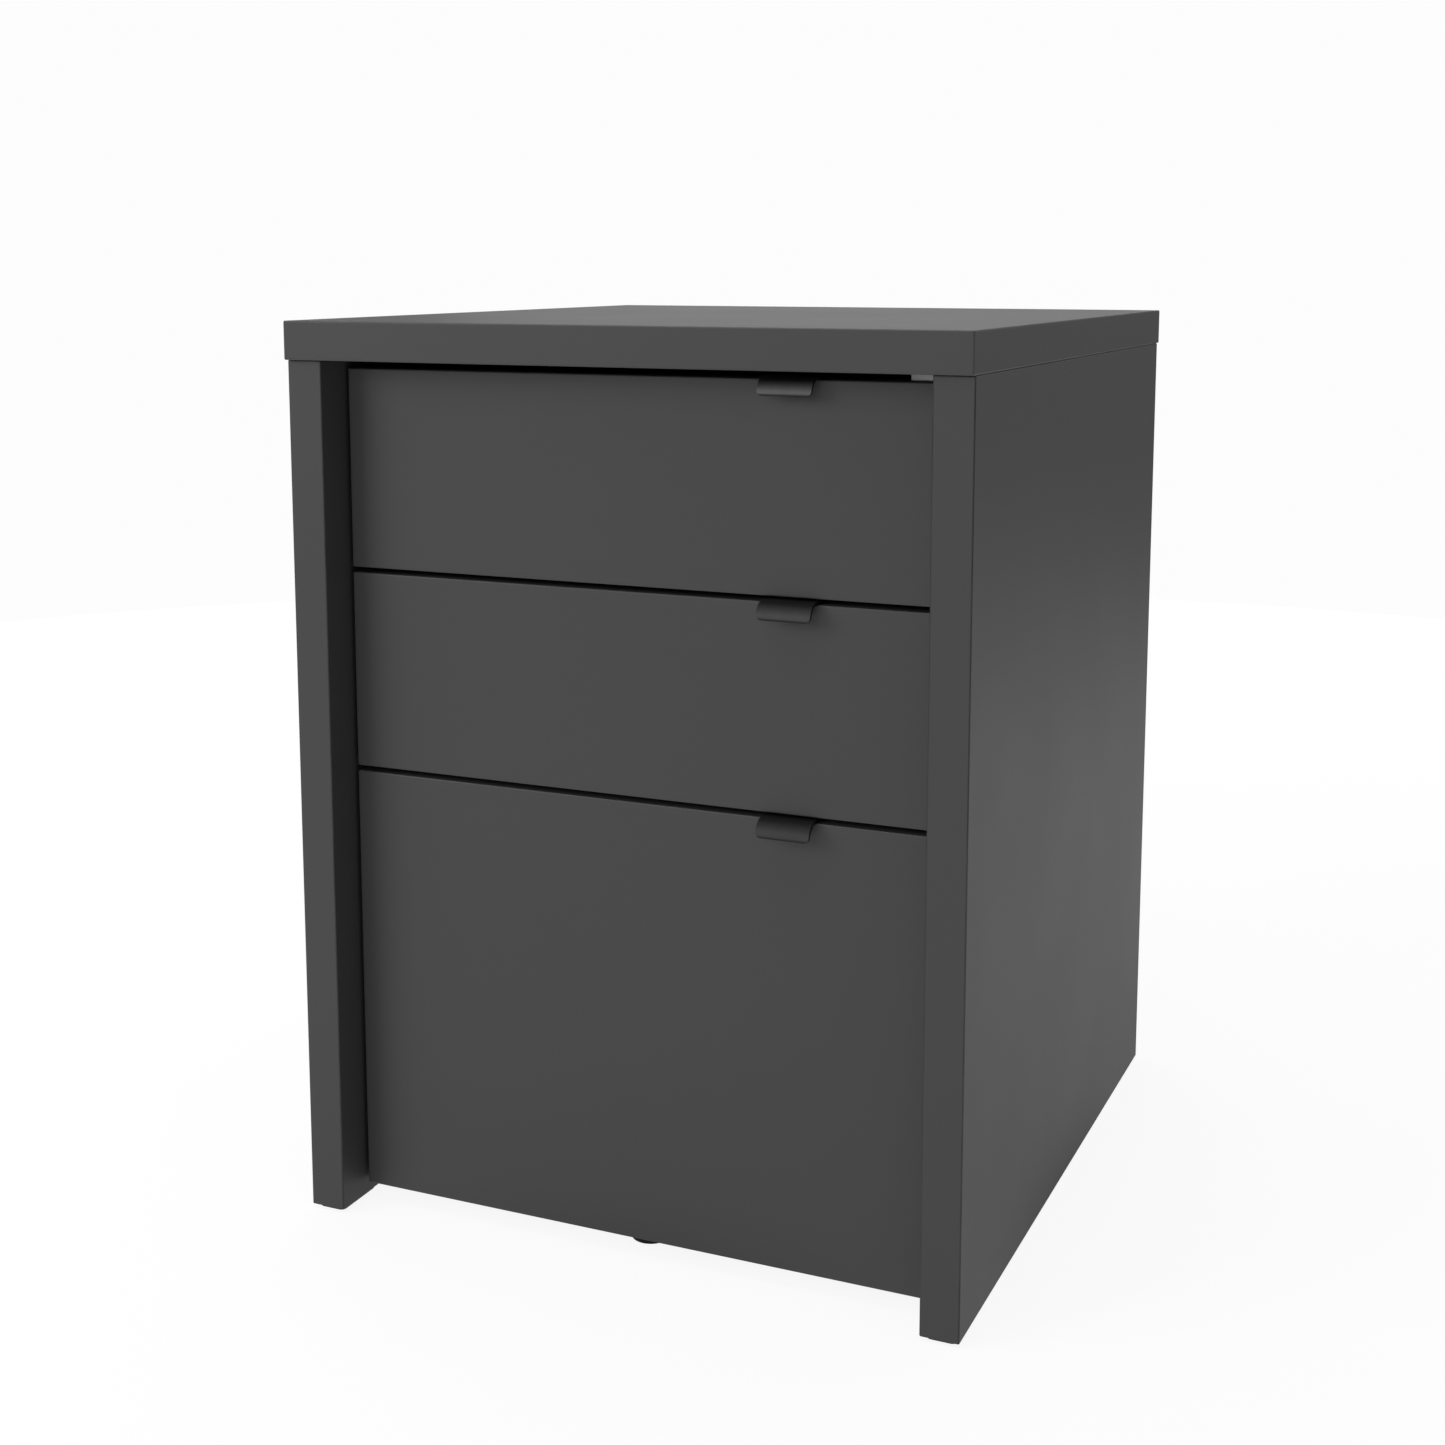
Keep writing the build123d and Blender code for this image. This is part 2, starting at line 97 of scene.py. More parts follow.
class ShaderGraph:
    """The nodes of one material, made and joined by short calls."""

    def __init__(self, name: str) -> None:
        """Starts a material that has only its shader and output.

        Args:
            name: the material's name.
        """
        self.material = bpy.data.materials.new(name)
        self.material.use_nodes = True
        self.tree = self.material.node_tree
        self.tree.nodes.clear()
        self.shader = self.tree.nodes.new("ShaderNodeBsdfPrincipled")
        output = self.tree.nodes.new("ShaderNodeOutputMaterial")
        self.tree.links.new(self.shader.outputs["BSDF"], output.inputs["Surface"])

    def plug(self, socket: Socket, value: object) -> None:
        """Links a socket, or sets its own value.

        Args:
            socket: the input to feed.
            value: another node's output, or a number, vector or colour.
        """
        if isinstance(value, Socket):
            self.tree.links.new(value, socket)
        else:
            socket.default_value = value

    def feed(self, name: str, value: object) -> None:
        """Feeds one of the shader's own inputs by name."""
        self.plug(self.shader.inputs[name], value)

    def place(self) -> Socket:
        """Where a point is on the cabinet, in metres."""
        return self.tree.nodes.new("ShaderNodeTexCoord").outputs["Object"]

    def mark(self, name: str) -> Socket:
        """A measure that the piece's own mesh carries at each point.

        Args:
            name: the measure's name on the mesh.

        Returns:
            The measure's socket.
        """
        node = self.tree.nodes.new("ShaderNodeAttribute")
        node.attribute_name = name
        return node.outputs["Fac"]

    def seen(self) -> Socket:
        """1 for what the camera sees directly, and 0 for what only lights something else."""
        return self.tree.nodes.new("ShaderNodeLightPath").outputs["Is Camera Ray"]

    def split(self, vector: Socket) -> list[Socket]:
        """The three parts of a vector.

        Args:
            vector: the vector's socket.

        Returns:
            Its X, Y and Z.
        """
        node = self.tree.nodes.new("ShaderNodeSeparateXYZ")
        self.plug(node.inputs[0], vector)
        return list(node.outputs)

    def stretch(self, vector: Socket, factors: tuple[float, float, float]) -> Socket:
        """A vector with each part multiplied by its own factor.

        Args:
            vector: the vector's socket.
            factors: what to multiply X, Y and Z by.

        Returns:
            The new vector's socket.
        """
        node = self.tree.nodes.new("ShaderNodeVectorMath")
        node.operation = "MULTIPLY"
        self.plug(node.inputs[0], vector)
        self.plug(node.inputs[1], factors)
        return node.outputs[0]

    def calc(self, operation: str, first: object, second: object = 0.0) -> Socket:
        """One step of arithmetic, clamped nowhere.

        Args:
            operation: a Math node's operation, such as ADD or MAXIMUM.
            first: a number or a socket.
            second: a number or a socket.

        Returns:
            The result's socket.
        """
        node = self.tree.nodes.new("ShaderNodeMath")
        node.operation = operation
        self.plug(node.inputs[0], first)
        self.plug(node.inputs[1], second)
        return node.outputs[0]

    def add(self, first: object, second: object) -> Socket:
        """The sum of two numbers or sockets."""
        return self.calc("ADD", first, second)

    def less(self, first: object, second: object) -> Socket:
        """The first number or socket less the second."""
        return self.calc("SUBTRACT", first, second)

    def times(self, first: object, second: object) -> Socket:
        """The product of two numbers or sockets."""
        return self.calc("MULTIPLY", first, second)

    def noise(self, vector: Socket, scale: float, detail: float, distortion: float = 0.0) -> Socket:
        """Soft noise from 0 to 1.

        Args:
            vector: where the noise is taken.
            scale: about how many lumps there are to a metre.
            detail: how many finer layers are added.
            distortion: how far the lumps are dragged about.

        Returns:
            The noise's socket.
        """
        node = self.tree.nodes.new("ShaderNodeTexNoise")
        self.plug(node.inputs["Vector"], vector)
        self.plug(node.inputs["Scale"], scale)
        self.plug(node.inputs["Detail"], detail)
        self.plug(node.inputs["Distortion"], distortion)
        return node.outputs["Fac"]

    def ease(
        self, value: object, low: float, high: float, at_low: float = 0.0, at_high: float = 1.0
    ) -> Socket:
        """A smooth step between two levels.

        Args:
            value: what drives the step.
            low: the value where the step starts.
            high: the value where it ends.
            at_low: the level before the step.
            at_high: the level after it.

        Returns:
            The level's socket.
        """
        node = self.tree.nodes.new("ShaderNodeMapRange")
        node.interpolation_type = "SMOOTHSTEP"
        names = ("Value", "From Min", "From Max", "To Min", "To Max")
        for name, given in zip(names, (value, low, high, at_low, at_high)):
            self.plug(node.inputs[name], given)
        return node.outputs["Result"]

    def blend(self, factor: object, first: object, second: object) -> Socket:
        """A colour between two colours.

        Args:
            factor: 0 for the first colour, 1 for the second.
            first: a colour or a socket.
            second: a colour or a socket.

        Returns:
            The mixed colour's socket.
        """
        node = self.tree.nodes.new("ShaderNodeMix")
        node.data_type = "RGBA"
        self.plug(node.inputs[MIX_FACTOR], factor)
        self.plug(node.inputs[MIX_FIRST], first)
        self.plug(node.inputs[MIX_SECOND], second)
        return node.outputs[MIX_RESULT]

    def relief(self, height: object, depth: float) -> Socket:
        """A bumped normal.

        Args:
            height: the relief from 0 to 1.
            depth: how deep the relief is, in metres.

        Returns:
            The normal's socket.
        """
        node = self.tree.nodes.new("ShaderNodeBump")
        self.plug(node.inputs["Height"], height)
        self.plug(node.inputs["Distance"], depth)
        return node.outputs["Normal"]


def grey(level: float, warmth: float = 0.0) -> Colour:
    """A grey, made a little warmer or cooler."""
    return tinted(level, (1 + warmth, 1.0, 1 - warmth))


def tinted(level: float, cast: tuple[float, float, float]) -> Colour:
    """A level with its red, green and blue each multiplied by its own factor."""
    return (level * cast[0], level * cast[1], level * cast[2], 1.0)


def cover(piece: bpy.types.Object, material: bpy.types.Material) -> None:
    """Gives a piece one material in place of what it has.

    Args:
        piece: the object to dress.
        material: its finish.
    """
    if piece.material_slots:
        for slot in piece.material_slots:
            slot.material = material
    else:
        piece.data.materials.append(material)


# ---------------------------------------------------------------- finishes


@dataclass(frozen=True)
class Mottle:
    """Soft patches: noise, with a smooth step between two of its levels.

    The scale is in lumps to a metre, and the distortion says how far they are dragged about.
    """

    scale: float
    detail: float = 4.0
    low: float = 0.35
    high: float = 0.75
    distortion: float = 0.0

    def over(
        self, graph: ShaderGraph, place: Socket, clear: float = 0.0, full: float = 1.0
    ) -> Socket:
        """Lays the patches over a surface.

        Args:
            graph: the material that needs them.
            place: where the noise is taken.
            clear: the level between the patches.
            full: the level inside them.

        Returns:
            The level's socket.
        """
        noise = graph.noise(place, self.scale, self.detail, self.distortion)
        return graph.ease(noise, self.low, self.high, clear, full)


@dataclass(frozen=True)
class BoardBox:
    """The box of a board, which its finish is laid out on."""

    low: tuple[float, float, float]
    high: tuple[float, float, float]

    @classmethod
    def of(cls, node: str) -> BoardBox:
        """The box of one of the model's nodes."""
        low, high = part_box(node)
        return cls(tuple(low), tuple(high))

    @property
    def sizes(self) -> np.ndarray:
        """The board's three sizes."""
        return np.subtract(self.high, self.low)

    @property
    def thin(self) -> Axis:
        """The direction of the board's thickness."""
        return Axis(int(np.argmin(self.sizes)))

    def depths(self, graph: ShaderGraph) -> list[Socket]:
        """How far a point is inside the board's faces, along each axis.

        Each depth is half the board's size less the distance to its middle plane.

        Args:
            graph: the material that needs them.

        Returns:
            One socket for each axis.
        """
        parts = graph.split(graph.place())
        found = []
        for part, low, high in zip(parts, self.low, self.high):
            off_middle = graph.calc("ABSOLUTE", graph.less(part, (low + high) / 2))
            found.append(graph.less((high - low) / 2, off_middle))
        return found

    def rim(self, graph: ShaderGraph) -> Socket:
        """Distance from a point on the board's surface to its nearest edge.

        On a surface one depth is zero and the smaller of the other two is the distance, so
        it is the middle one of the three depths.

        Args:
            graph: the material that needs it.

        Returns:
            The distance's socket.
        """
        x, y, z = self.depths(graph)
        lesser = graph.calc("MINIMUM", x, y)
        greater = graph.calc("MAXIMUM", x, y)
        return graph.calc("MAXIMUM", lesser, graph.calc("MINIMUM", greater, z))


@dataclass(frozen=True)
class MattLaminate:
    """Anthracite melamine on board, with edge banding of the same colour.

    Scales are in lumps to a metre. An arris factor above 1 paints a highlight along the edges, and one
    below 1 paints the edges darker.
    """

    tone: float = 0.046
    warmth: float = 0.004
    clouding: float = 0.03
    cloud_scale: float = 6.0
    cloud_share: float = 0.6
    speck_scale: float = 495.0
    roughness: float = 0.52
    gloss: float = 0.5
    pearl_scale: float = 1500.0
    pearl_depth: float = 0.012 * MM
    pearl_grain: float = 0.08
    handled: Mottle = Mottle(9.0, detail=3.0, high=0.72)
    handled_roughness: tuple[float, float] = (0.006, -0.012)
    band: tuple[float, float] = (0.9 * MM, 1.1 * MM)
    band_tone: float = 0.94
    band_gloss: float = 0.05
    arris: float = 2.4
    arris_start: float = 0.15 * MM
    arris_reach: float = 0.7 * MM
    arris_tint: Mottle = Mottle(40.0)
    arris_tint_levels: tuple[float, float] = (0.35, 0.7)

    def material(self, name: str, board: BoardBox) -> bpy.types.Material:
        """Makes the finish for one board.

        Args:
            name: the material's name.
            board: the board's box, which places the edge bands.

        Returns:
            The material.
        """
        graph = ShaderGraph(name)
        place = graph.place()
        cloud = graph.noise(place, self.cloud_scale, 3.0)
        pearl = graph.noise(place, self.pearl_scale, 3.0)
        speck = graph.noise(place, self.speck_scale, 2.0)
        rim = board.rim(graph)
        arris = graph.ease(rim, self.arris_start, self.arris_reach, 1.0, 0.0)
        banded = graph.ease(rim, *self.band, 1.0, 0.0)

        colour = graph.blend(
            graph.add(graph.times(cloud, self.cloud_share), graph.times(speck, 1 - self.cloud_share)),
            grey(self.tone * (1 - self.clouding), self.warmth),
            grey(self.tone * (1 + self.clouding), self.warmth),
        )
        colour = graph.blend(banded, colour, grey(self.tone * self.band_tone))
        # painted highlight along the arris where the arris factor is above 1, and a darker arris where it
        # is below 1, in patches
        arris_tint = graph.times(arris, self.arris_tint.over(graph, place, *self.arris_tint_levels))
        graph.feed("Base Color", graph.blend(arris_tint, colour, grey(self.tone * self.arris)))

        handled = self.handled.over(graph, place, *self.handled_roughness)
        grain = graph.times(graph.less(pearl, 0.5), self.pearl_grain)
        rough = graph.add(graph.add(handled, grain), self.roughness)
        graph.feed("Roughness", graph.less(rough, graph.times(banded, self.band_gloss)))
        graph.feed("Specular IOR Level", self.gloss)
        graph.feed("Normal", graph.relief(pearl, self.pearl_depth))
        return graph.material


@dataclass(frozen=True)
class BirchPly:
    """Clear-lacquered birch plywood, with its plies showing on every cut edge.

    Scales are in lumps to a metre across the grain, and the grain draws them out.
    """

    pale: Colour = (0.68, 0.505, 0.33, 1.0)
    dark: Colour = (0.53, 0.36, 0.215, 1.0)
    end_grain: Colour = (0.34, 0.21, 0.12, 1.0)
    glue: Colour = (0.16, 0.09, 0.05, 1.0)
    ply: float = 1.35 * MM
    seam: float = 0.09
    seam_depth: float = 0.7
    grain_draw: float = 0.09
    flame: Mottle = Mottle(34.0, low=0.36, high=0.66, distortion=1.6)
    flame_depth: float = 0.75
    fibre_scale: float = 900.0
    fleck: tuple[float, float] = (0.58, 0.74)
    fleck_depth: float = 0.35
    pore_scale: float = 260.0
    cut_depth: tuple[float, float] = (0.25 * MM, 0.45 * MM)
    roughness: float = 0.36
    cut_roughness: float = 0.22
    lacquer: float = 0.25
    lacquer_roughness: float = 0.28
    relief: float = 0.03 * MM

    def veneer(self, graph: ShaderGraph, fibre: Socket, lie: Socket) -> Socket:
        """The colour of a face, with its flame figure and fine flecks.

        Args:
            graph: the material that needs it.
            fibre: noise drawn out along the grain.
            lie: the place, drawn out along the grain.

        Returns:
            The colour's socket.
        """
        flame = graph.times(self.flame.over(graph, lie), self.flame_depth)
        fleck = graph.ease(fibre, *self.fleck, 0.0, self.fleck_depth)
        return graph.blend(fleck, graph.blend(flame, self.pale, self.dark), self.dark)

    def material(self, name: str, board: BoardBox, grain: Axis) -> bpy.types.Material:
        """Makes the finish for one board.

        Each ply is turned across its neighbours, so long grain and end grain take turns
        through the thickness, with a dark seam of glue between them.

        Args:
            name: the material's name.
            board: the board's box, whose thinnest direction the plies are stacked along.
            grain: the direction of the face veneer's grain.

        Returns:
            The material.
        """
        graph = ShaderGraph(name)
        place = graph.place()
        along = tuple(self.grain_draw if axis is grain else 1.0 for axis in Axis)
        lie = graph.stretch(place, along)
        fibre = graph.noise(graph.stretch(lie, along), self.fibre_scale, 3.0)

        thin = board.thin.value
        layer = graph.calc("DIVIDE", graph.less(graph.split(place)[thin], board.low[thin]), self.ply)
        within = graph.calc("FRACT", layer)
        turned = graph.ease(graph.calc("FRACT", graph.times(layer, 0.5)), 0.48, 0.52)
        pores = graph.noise(place, self.pore_scale, 3.0)
        long_ply = graph.blend(pores, self.pale, self.dark)
        end_ply = graph.blend(pores, self.dark, self.end_grain)
        seam = graph.calc(
            "MAXIMUM", graph.ease(within, 0.0, self.seam, 1.0, 0.0), graph.ease(within, 1 - self.seam, 1.0)
        )
        plies = graph.blend(turned, long_ply, end_ply)
        stack = graph.blend(graph.times(seam, self.seam_depth), plies, self.glue)

        cut = graph.ease(board.depths(graph)[thin], *self.cut_depth)
        graph.feed("Base Color", graph.blend(cut, self.veneer(graph, fibre, lie), stack))
        graph.feed("Roughness", graph.add(self.roughness, graph.times(cut, self.cut_roughness)))
        graph.feed("Coat Weight", self.lacquer)
        graph.feed("Coat Roughness", self.lacquer_roughness)
        lift = graph.add(graph.times(fibre, 0.5), graph.times(seam, -0.5))
        graph.feed("Normal", graph.relief(lift, self.relief))
        return graph.material


@dataclass(frozen=True)
class BeechDowel:
    """Plain beech rod with its short dark rays."""

    wood: Colour = (0.56, 0.39, 0.24, 1.0)
    rays: Colour = (0.36, 0.22, 0.12, 1.0)
    ray: Mottle = Mottle(1300.0, detail=2.0, low=0.52, high=0.7)
    ray_draw: float = 0.3
    ray_depth: float = 0.04 * MM
    roughness: tuple[float, float] = (0.6, 0.75)

    def material(self, name: str) -> bpy.types.Material:
        """Makes the finish.

        Args:
            name: the material's name.

        Returns:
            The material.
        """
        graph = ShaderGraph(name)
        place = graph.place()
        ray = self.ray.over(graph, graph.stretch(place, (1.0, self.ray_draw, 1.0)))
        graph.feed("Base Color", graph.blend(ray, self.wood, self.rays))
        graph.feed("Roughness", graph.ease(ray, 0.0, 1.0, *self.roughness))
        graph.feed("Normal", graph.relief(ray, self.ray_depth))
        return graph.material


@dataclass(frozen=True)
class PowderCoat:
    """Satin black powder coat on sheet steel, painted paler on the lip as painted light, where it faces
    the front lights.

    The piece's mesh says how much painted light each point gets, and where painted shade darkens the
    sheet's narrow edges.
    """

    tone: float = 0.004
    painted_lip_light: float = 0.05
    # tone of the painted shade along the sheet's narrow edges and ends
    edge: float = 0.002
    roughness: tuple[float, float] = (0.56, 0.46)
    gloss: float = 0.3
    peel_scale: float = 2600.0
    peel_depth: float = 0.01 * MM
    patch: Mottle = Mottle(130.0, high=0.7)
    least_lip_light: float = 0.9

    def material(self, name: str) -> bpy.types.Material:
        """Makes the finish, with its fine orange peel, and its painted lip light and polish in uneven
        patches.

        Args:
            name: the material's name.

        Returns:
            The material.
        """
        graph = ShaderGraph(name)
        place = graph.place()
        peel = graph.noise(place, self.peel_scale, 2.0)
        # painted light: the lip is paler where it faces the front lights, in uneven patches; the same mark
        # also makes the lip's polish smoother
        lip_light = graph.times(graph.mark("painted_lip_light"), self.patch.over(graph, place, self.least_lip_light))
        coat = graph.blend(lip_light, grey(self.tone), grey(self.painted_lip_light))
        # painted shade darkens the sheet's narrow edges and its ends
        graph.feed("Base Color", graph.blend(graph.mark("painted_shade_edge"), coat, grey(self.edge)))
        graph.feed("Roughness", graph.ease(lip_light, 0.0, 1.0, *self.roughness))
        graph.feed("Specular IOR Level", self.gloss)
        graph.feed("Normal", graph.relief(peel, self.peel_depth))
        return graph.material


@dataclass(frozen=True)
class ZincPlate:
    """Bright zinc on rolled steel: drawn lines along the piece, a faint blue cast, light smears.

    The casts are factors of red, green and blue.
    """

    level: float = 0.62
    roughness: float = 0.3
    along: Axis = Axis.Y
    draw: float = 0.02
    line_scale: float = 1800.0
    line_depth: float = 0.01 * MM
    line_grain: float = 0.18
    clouds: Mottle = Mottle(22.0, detail=2.0, low=0.3)
    light_cast: tuple[float, float, float] = (1.0, 1.01, 1.03)
    dark_cast: tuple[float, float, float] = (0.91, 0.925, 0.955)
    smears: Mottle = Mottle(30.0, detail=3.0, distortion=0.4)
    smear_roughness: tuple[float, float] = (-0.02, 0.05)

    def material(self, name: str) -> bpy.types.Material:
        """Makes the finish.

        Args:
            name: the material's name.

        Returns:
            The material.
        """
        graph = ShaderGraph(name)
        place = graph.place()
        run = tuple(self.draw if axis is self.along else 1.0 for axis in Axis)
        drawn = graph.noise(graph.stretch(place, run), self.line_scale, 3.0)
        light, dark = tinted(self.level, self.light_cast), tinted(self.level, self.dark_cast)
        graph.feed("Base Color", graph.blend(self.clouds.over(graph, place), light, dark))
        graph.feed("Metallic", 1.0)
        smear = self.smears.over(graph, place, *self.smear_roughness)
        fine = graph.times(graph.less(drawn, 0.5), self.line_grain)
        graph.feed("Roughness", graph.add(graph.add(smear, fine), self.roughness))
        graph.feed("Normal", graph.relief(drawn, self.line_depth))
        return graph.material


@dataclass(frozen=True)
class MouldedPlastic:
    """Black moulded plastic with a fine spark-eroded texture."""

    tone: float = 0.006
    scuff_tone: float = 2.2
    roughness: tuple[float, float] = (0.5, 0.65)
    gloss: float = 0.3
    scuff: Mottle = Mottle(160.0, low=0.5)
    spark_scale: float = 3200.0
    spark_depth: float = 0.02 * MM

    def material(self, name: str) -> bpy.types.Material:
        """Makes the finish.

        Args:
            name: the material's name.

        Returns:
            The material.
        """
        graph = ShaderGraph(name)
        place = graph.place()
        spark = graph.noise(place, self.spark_scale, 2.0)
        scuff = self.scuff.over(graph, place)
        graph.feed("Base Color", graph.blend(scuff, grey(self.tone), grey(self.tone * self.scuff_tone)))
        graph.feed("Roughness", graph.ease(scuff, 0.0, 1.0, *self.roughness))
        graph.feed("Specular IOR Level", self.gloss)
        graph.feed("Normal", graph.relief(spark, self.spark_depth))
        return graph.material


@dataclass(frozen=True)
class LitTable:
    """The pale shooting table that the cabinet stands on, lit through from below.

    It looks evenly white to the camera. The glow that lights the cabinet carries a painted shadow: weaker
    close by than far off, and nearly off underneath, where the cabinet covers it. The reaches are in
    metres from the table's middle.
    """

    tone: float = 0.12
    grain_scale: float = 30.0
    grain_depth: float = 0.02
    roughness: float = 0.9
    gloss: float = 0.1
    glow: float = 0.9
    rim_glow: float = 0.945
    rise: float = 0.3
    near_cast: float = 0.62
    far_cast: float = 0.82
    cast_reach: tuple[float, float] = (0.25, 0.95)
    covered_cast: float = 0.25
    covered_reach: tuple[float, float] = (0.15, 0.3)

    def material(self, name: str, reach: float) -> bpy.types.Material:
        """Makes the finish.

        Args:
            name: the material's name.
            reach: the table's radius, where the glow is strongest.

        Returns:
            The material.
        """
        graph = ShaderGraph(name)
        grain = graph.noise(graph.place(), self.grain_scale, 4.0)
        x, y, _ = graph.split(graph.place())
        out = graph.calc("SQRT", graph.add(graph.times(x, x), graph.times(y, y)))
        darker = grey(self.tone * (1 - self.grain_depth))
        graph.feed("Base Color", graph.blend(grain, darker, grey(self.tone)))
        graph.feed("Emission Color", grey(1.0))
        shown = graph.ease(out, self.rise * reach, reach, self.glow, self.rim_glow)
        # painted shadow in the table's glow: weaker near the cabinet and nearly off under it
        open_cast = graph.ease(out, *self.cast_reach, self.near_cast, self.far_cast)
        covered = graph.ease(out, *self.covered_reach, self.covered_cast, 1.0)
        cast = graph.times(open_cast, covered)
        extra = graph.times(graph.seen(), graph.less(shown, cast))
        graph.feed("Emission Strength", graph.add(cast, extra))
        graph.feed("Roughness", self.roughness)
        graph.feed("Specular IOR Level", self.gloss)
        return graph.material


# ---------------------------------------------------------------- meshes worked out as arrays


def shells(
    name: str,
    rings: np.ndarray,
    tips: np.ndarray,
    normals: np.ndarray | None = None,
    marks: dict[str, np.ndarray] | None = None,
) -> bpy.types.Object:
    """Skins closed shells, each one a stack of rings with a fan at either end.

    Quad (i, j) of a shell joins points j and j + 1 of ring i to those of ring i + 1, and each
    end's triangles join its ring to its tip. The winding is reversed if the signed volume,
    the sum of the tetrahedra from the origin to each triangle, comes out negative.

    Args:
        name: the object's name.
        rings: points, shaped (shells, rings, points in a ring, 3).
        tips: the two end points of each shell, shaped (shells, 2, 3).
        normals: a normal for each ring point, shaped as rings, where the flats of a rounded
            section have to look flat.
        marks: measures for a finish to read, by name, shaped (shells, rings, points in a ring).

    Returns:
        The new object, at the origin.
    """
    count, rows, columns, _ = rings.shape
    block = rows * columns + 2
    index = np.arange(rows * columns).reshape(rows, columns)
    right = np.roll(index, -1, axis=1)
    quads = np.stack([index[:-1], right[:-1], right[1:], index[1:]], axis=-1).reshape(-1, 4)
    first = np.stack([right[0], index[0], np.full(columns, rows * columns)], axis=-1)
    last = np.stack([index[-1], right[-1], np.full(columns, rows * columns + 1)], axis=-1)
    fans = np.concatenate([first, last])
    points = np.concatenate([rings.reshape(count, rows * columns, 3), tips], axis=1).reshape(-1, 3)
    shift = (np.arange(count) * block)[:, None, None]
    quads = (quads[None] + shift).reshape(-1, 4)
    fans = (fans[None] + shift).reshape(-1, 3)

    tetrahedra = np.concatenate([quads[:, [0, 1, 2]], quads[:, [0, 2, 3]], fans])
    corners = points[tetrahedra]
    volume = np.einsum("ij,ij->i", corners[:, 0], np.cross(corners[:, 1], corners[:, 2])).sum()
    if volume < 0:
        quads, fans = quads[:, ::-1], fans[:, ::-1]

    mesh = bpy.data.meshes.new(name)
    mesh.vertices.add(len(points))
    mesh.vertices.foreach_set("co", points.astype(np.float32).ravel())
    mesh.loops.add(quads.size + fans.size)
    loops = np.concatenate([quads.ravel(), fans.ravel()])
    mesh.loops.foreach_set("vertex_index", loops.astype(np.int32))
    mesh.polygons.add(len(quads) + len(fans))
    starts = np.concatenate([np.arange(len(quads)) * 4, quads.size + np.arange(len(fans)) * 3])
    mesh.polygons.foreach_set("loop_start", starts.astype(np.int32))
    mesh.polygons.foreach_set("use_smooth", np.ones(len(starts), bool))
    mesh.update(calc_edges=True)
    if normals is not None:
        ends = np.concatenate([normals[:, :1].mean(axis=2), normals[:, -1:].mean(axis=2)], axis=1)
        given = np.concatenate([normals.reshape(count, rows * columns, 3), ends], axis=1).reshape(-1, 3)
        given /= np.maximum(np.linalg.norm(given, axis=1, keepdims=True), TINY)
        mesh.normals_split_custom_set_from_vertices(given.tolist())
    for mark, level in (marks or {}).items():
        ends = np.stack([level[:, 0].mean(axis=1), level[:, -1].mean(axis=1)], axis=1)
        values = np.concatenate([level.reshape(count, rows * columns), ends], axis=1)
        layer = mesh.attributes.new(mark, "FLOAT", "POINT")
        layer.data.foreach_set("value", values.astype(np.float32).ravel())
    piece = bpy.data.objects.new(name, mesh)
    bpy.context.scene.collection.objects.link(piece)
    return piece


def rounded_section(
    half_wide: np.ndarray, half_thick: np.ndarray, radius: float, steps: int = 5
) -> tuple[np.ndarray, ...]:
    """Rounded-rectangle sections, one for each station along a strip.

    A small circle is cut in four, and each quarter is pushed out to its own corner, so
    across = sign(cos a) (half_wide - radius) + radius cos a, and through the same with sin a.

    Args:
        half_wide: half the strip's width at each station.
        half_thick: half its thickness at each station.
        radius: the rounding of its long edges, made smaller where the strip is thinner.
        steps: how many pieces each quarter circle is cut into.

    Returns:
        across, through and the angle's cosine and sine, each shaped (stations, points).
    """
    quarter = np.linspace(0.0, math.pi / 2, steps + 1)
    angle = np.concatenate([quarter + k * math.pi / 2 for k in range(4)])
    toward_x = np.repeat([1.0, -1.0, -1.0, 1.0], steps + 1)
    toward_n = np.repeat([1.0, 1.0, -1.0, -1.0], steps + 1)
    r = np.minimum(radius, np.minimum(half_wide, half_thick))[:, None]
    cosine, sine = np.cos(angle)[None], np.sin(angle)[None]
    across = toward_x * (half_wide[:, None] - r) + r * cosine
    through = toward_n * (half_thick[:, None] - r) + r * sine
    cosine, sine = (np.broadcast_to(part, across.shape) for part in (cosine, sine))
    return across, through, cosine, sine


def tapered_end(distance: np.ndarray, radius: float) -> np.ndarray:
    """How much a strip draws in near its end for a quarter-round corner.

    It is radius - sqrt(radius^2 - (radius - distance)^2) within radius of the end, else zero.

    Args:
        distance: how far each station is from the end.
        radius: the corner's radius.

    Returns:
        The draw-in at each station.
    """
    inside = np.clip(radius - distance, 0.0, radius)
    return radius - np.sqrt(np.maximum(radius**2 - inside**2, 0.0))


# ---------------------------------------------------------------- sub-assemblies


